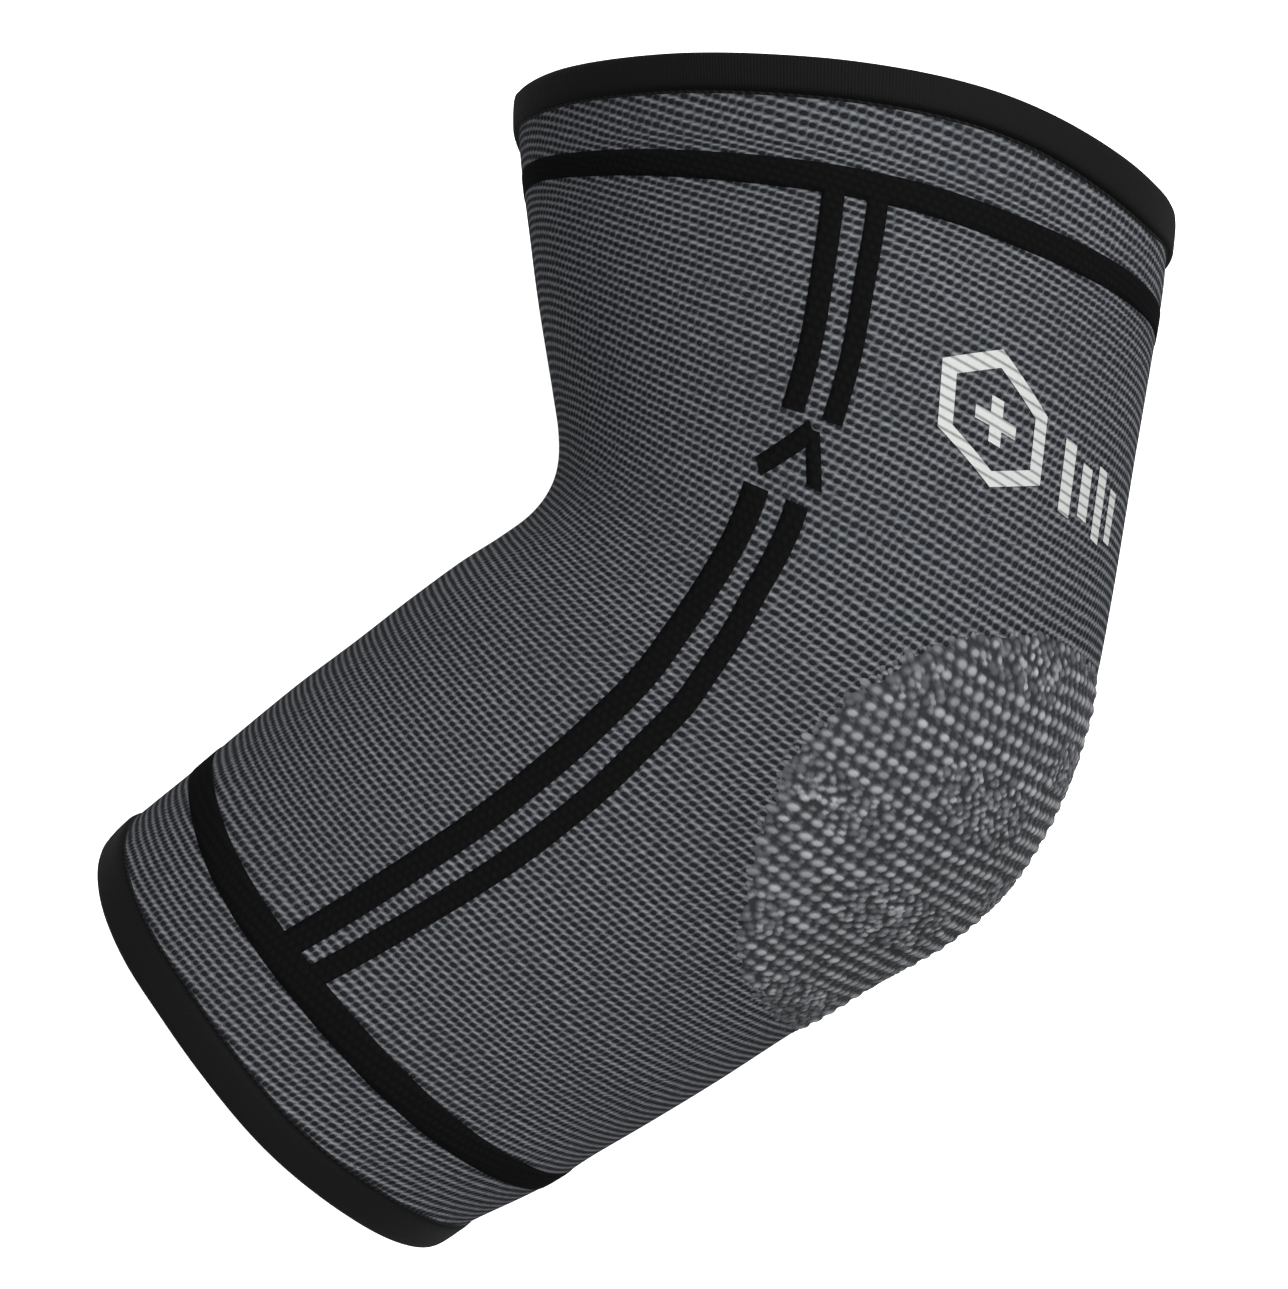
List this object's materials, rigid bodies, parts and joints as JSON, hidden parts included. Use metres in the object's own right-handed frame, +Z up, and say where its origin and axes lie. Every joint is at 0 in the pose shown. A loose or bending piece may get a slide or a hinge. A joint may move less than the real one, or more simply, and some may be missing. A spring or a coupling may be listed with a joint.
{
  "type": "elbow compression sleeve",
  "caption": "Bent knitted elbow sleeve with elastic cuffs, inner grip bands, stripes and a pearl-knit pad over the elbow.",
  "frame": {"origin": "on the table, under the middle of the part's box", "axes": "the sleeve lies on its side: +Z up off the table, +Y out of the upper arm opening, the forearm points to -X -Y, and the outer side of the elbow faces +X -Y"},
  "size_m": [0.1678, 0.1872, 0.11],
  "materials": {
    "grey_knit": "heathered dark grey elastic knit, matt",
    "black_knit": "black knitted-in stripe, matt",
    "pearl_knit": "raised pearl knit, light grey bobbles on dark grey",
    "cuff_fabric": "smooth black elastic hem band, soft sheen",
    "seam_thread": "black overlock thread",
    "grip_silicone": "dark silicone grip band",
    "print_film": "light grey heat-transfer print, satin"
  },
  "bodies": {
    "upper_arm": {"upper_sleeve": "grey_knit", "top_cuff": "cuff_fabric", "top_cuff_seam": "seam_thread", "top_grip_band": "grip_silicone", "top_ring_stripe": "black_knit", "lateral_upper_stripes": "black_knit", "medial_upper_stripes": "black_knit", "lateral_chevron": "black_knit", "medial_chevron": "black_knit", "emblem": "print_film", "elbow_sleeve": "grey_knit", "elbow_pad": "pearl_knit", "lateral_elbow_stripes": "black_knit", "medial_elbow_stripes": "black_knit"},
    "forearm": {"forearm_sleeve": "grey_knit", "bottom_cuff": "cuff_fabric", "bottom_cuff_seam": "seam_thread", "bottom_grip_band": "grip_silicone", "bottom_ring_stripe": "black_knit", "lateral_forearm_stripes": "black_knit", "medial_forearm_stripes": "black_knit"}
  },
  "joints": [
    {"name": "elbow_flex", "type": "hinge", "parent": "upper_arm", "child": "forearm", "pos_m": [0.02992, 0.00271, 0.05103], "axis": [0.0561, 0.0494, -0.9972], "range_deg": [-48, 38], "deforming": ["elbow_sleeve", "elbow_pad", "lateral_elbow_stripes", "medial_elbow_stripes", "lateral_chevron", "medial_chevron"]}
  ]
}
